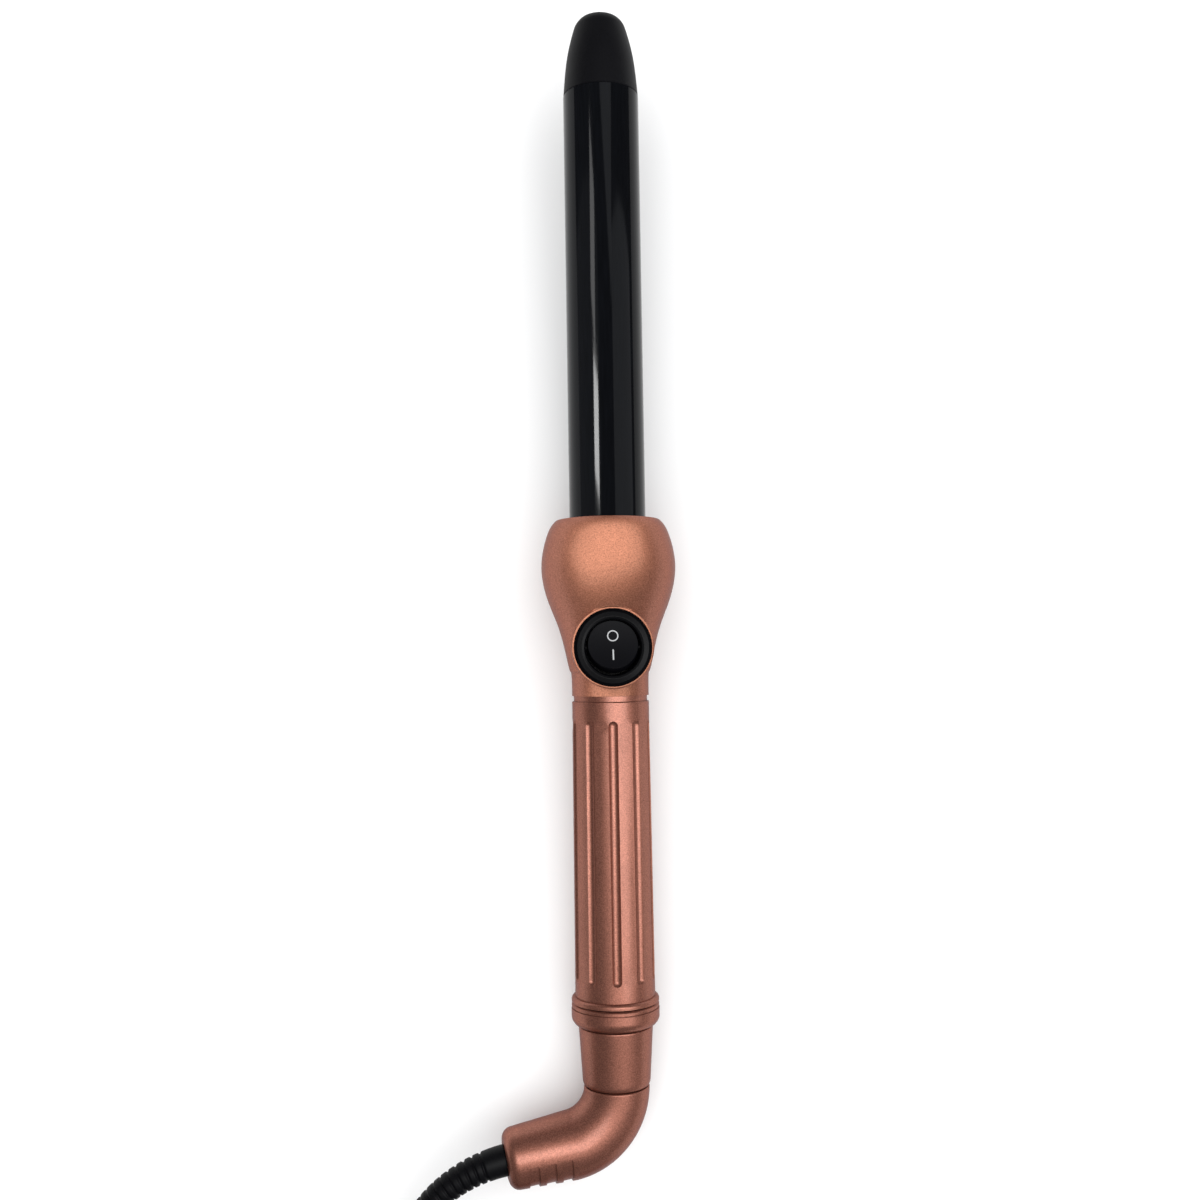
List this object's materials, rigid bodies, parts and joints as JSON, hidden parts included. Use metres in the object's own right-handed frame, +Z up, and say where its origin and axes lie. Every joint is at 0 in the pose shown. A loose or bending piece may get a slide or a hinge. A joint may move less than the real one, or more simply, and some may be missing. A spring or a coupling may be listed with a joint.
{
  "type": "curling wand",
  "caption": "Clipless curling wand with a straight round barrel, bulb with rocker switch, fluted grip, swivel cord outlet and coiled mains lead.",
  "frame": {"origin": "on the table under the middle of the wand's own box, without its cord", "axes": "+Z up from the table, +Y towards the cool tip, +X to the wand's right seen from above with the tip ahead"},
  "size_m": [0.1382, 0.5305, 0.0439],
  "materials": {
    "copper_paint": "moulded shell with a satin rose-copper metallic paint",
    "tip_black": "matt black heat-resistant moulding",
    "barrel_coating": "aluminium tube with a gloss black ceramic coating",
    "holder_tan": "heat-resistant phenolic",
    "steel": "plain steel",
    "ceramic": "fired alumina",
    "amber_film": "polyimide film",
    "aluminium": "extruded",
    "glass_sleeving": "woven glass sleeving",
    "switch_black": "fine satin moulding",
    "rocker_black": "fine satin moulding with white O and I marks",
    "inner_black": "plain moulding",
    "brass": "bright",
    "washer_white": "low-friction plastic",
    "wire_brown": "silicone insulation",
    "wire_blue": "silicone insulation",
    "cord_black": "satin flexible sheath",
    "sleeve_rubber": "satin moulded sleeve",
    "tie_rubber": "matt strap",
    "plug_black": "satin moulding",
    "pin_nickel": "nickel plated brass"
  },
  "bodies": {
    "cord_outlet": {"swivel_elbow": "copper_paint", "slip_ring_core": "inner_black", "slip_rings": "brass", "swivel_clip": "steel", "cord_clamp": "inner_black", "clamp_screws": "steel", "cord_end": "cord_black", "cord_cores": "wire_brown", "cord_sleeve": "sleeve_rubber", "cord_lead": "cord_black", "cord_coil": "cord_black", "cord_tail": "cord_black", "cord_tie": "tie_rubber", "plug_body": "plug_black", "plug_carrier": "plug_black", "plug_pins": "pin_nickel", "pin_sleeves": "plug_black"},
    "wand": {"barrel_holder": "holder_tan", "barrel_tube": "barrel_coating", "brush_holder": "inner_black", "brush_leaves": "brass", "bulb_cap": "copper_paint", "bulb_housing": "copper_paint", "cool_tip": "tip_black", "end_collar": "copper_paint", "fuse_sleeve": "glass_sleeving", "grip_sleeve": "copper_paint", "handle_core": "inner_black", "heater_film": "amber_film", "heater_leads": "steel", "heater_plate": "ceramic", "holder_screws": "steel", "live_wire": "wire_brown", "neutral_wire": "wire_blue", "spacer_ring": "copper_paint", "spreader_lower": "aluminium", "spreader_springs": "steel", "spreader_upper": "aluminium", "switch_bezel": "switch_black", "switch_body": "inner_black", "switch_terminals": "brass", "switched_wire": "wire_brown", "swivel_cuff": "copper_paint", "swivel_washer": "washer_white", "thermal_fuse": "aluminium", "wire_crimp": "brass"},
    "rocker": {"rocker_button": "rocker_black", "plunger_pin": "brass", "plunger_spring": "steel"},
    "contact_lever": {"contact_lever": "brass"}
  },
  "joints": [
    {"name": "swivel", "type": "hinge", "parent": "cord_outlet", "child": "wand", "pos_m": [0.00788, -0.15957, 0.01305], "axis": [0, 0.9986, 0.0532], "continuous": true},
    {"name": "rocker_tilt", "type": "hinge", "parent": "wand", "child": "rocker", "pos_m": [0.00788, -0.02, 0.03511], "axis": [1, 0, 0], "range_deg": [0, 28]},
    {"name": "lever_tilt", "type": "hinge", "parent": "wand", "child": "contact_lever", "pos_m": [0.00788, -0.01954, 0.02652], "axis": [1, 0, 0], "range_deg": [-16, 0]}
  ],
  "couplings": [
    {"joint": "lever_tilt", "follows": "rocker_tilt", "ratio": -0.5714}
  ]
}
